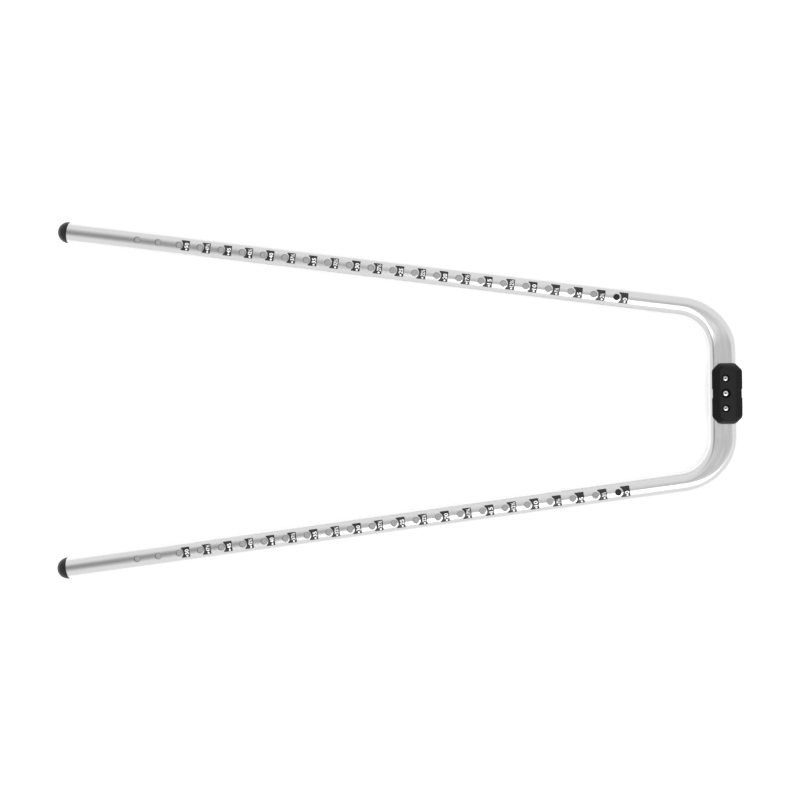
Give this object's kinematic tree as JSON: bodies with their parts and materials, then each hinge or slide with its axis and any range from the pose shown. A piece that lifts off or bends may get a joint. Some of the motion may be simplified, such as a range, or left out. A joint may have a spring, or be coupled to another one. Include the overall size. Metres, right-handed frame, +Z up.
{
  "type": "windsurf boom tail",
  "caption": "Flaring U of bright aluminium tube with rows of numbered setting holes, domed end plugs, and a black clamped fitting with outhaul sheaves on its flattened crossbar.",
  "frame": {"origin": "under the middle of the whole part, on the plane of its lowest face", "axes": "+X from the arms' tips to the crossbar, +Y towards the left arm, +Z up, out of the plane of the U on the side of the screw heads"},
  "size_m": [0.7776, 0.4164, 0.0409],
  "materials": {
    "anodised_tube": "drawn and clear anodised, bright satin",
    "black_nylon": "moulded, fine satin",
    "black_vinyl": "moulded, semi gloss",
    "sheave_acetal": "moulded, smooth",
    "white_acetal": "punched sheet",
    "stainless": "machined stainless steel",
    "pad_rubber": "cut sheet",
    "black_foam": "closed-cell foam",
    "scale_print": "printed film"
  },
  "bodies": {
    "tail": {"tail_tube": "anodised_tube", "top_saddle": "black_nylon", "sheave_housing": "black_nylon", "top_pad": "pad_rubber", "bottom_pad": "pad_rubber", "end_plug_left": "black_vinyl", "foam_bung_left": "black_foam", "axle_sleeve_left": "stainless", "upper_washer_left": "white_acetal", "lower_washer_left": "white_acetal", "end_plug_right": "black_vinyl", "foam_bung_right": "black_foam", "axle_sleeve_right": "stainless", "upper_washer_right": "white_acetal", "lower_washer_right": "white_acetal", "screw_left": "stainless", "crush_sleeve_left": "stainless", "lock_nut_left": "stainless", "screw_centre": "stainless", "crush_sleeve_centre": "stainless", "lock_nut_centre": "stainless", "screw_right": "stainless", "crush_sleeve_right": "stainless", "lock_nut_right": "stainless"},
    "left_sheave": {"sheave_left": "sheave_acetal"},
    "right_sheave": {"sheave_right": "sheave_acetal"}
  },
  "joints": [
    {"name": "sheave_spin_left", "type": "hinge", "parent": "tail", "child": "left_sheave", "pos_m": [0.37084, 0.0162, 0.0087], "axis": [0, 0, 1], "continuous": true},
    {"name": "sheave_spin_right", "type": "hinge", "parent": "tail", "child": "right_sheave", "pos_m": [0.37084, -0.0162, 0.0087], "axis": [0, 0, 1], "continuous": true}
  ]
}
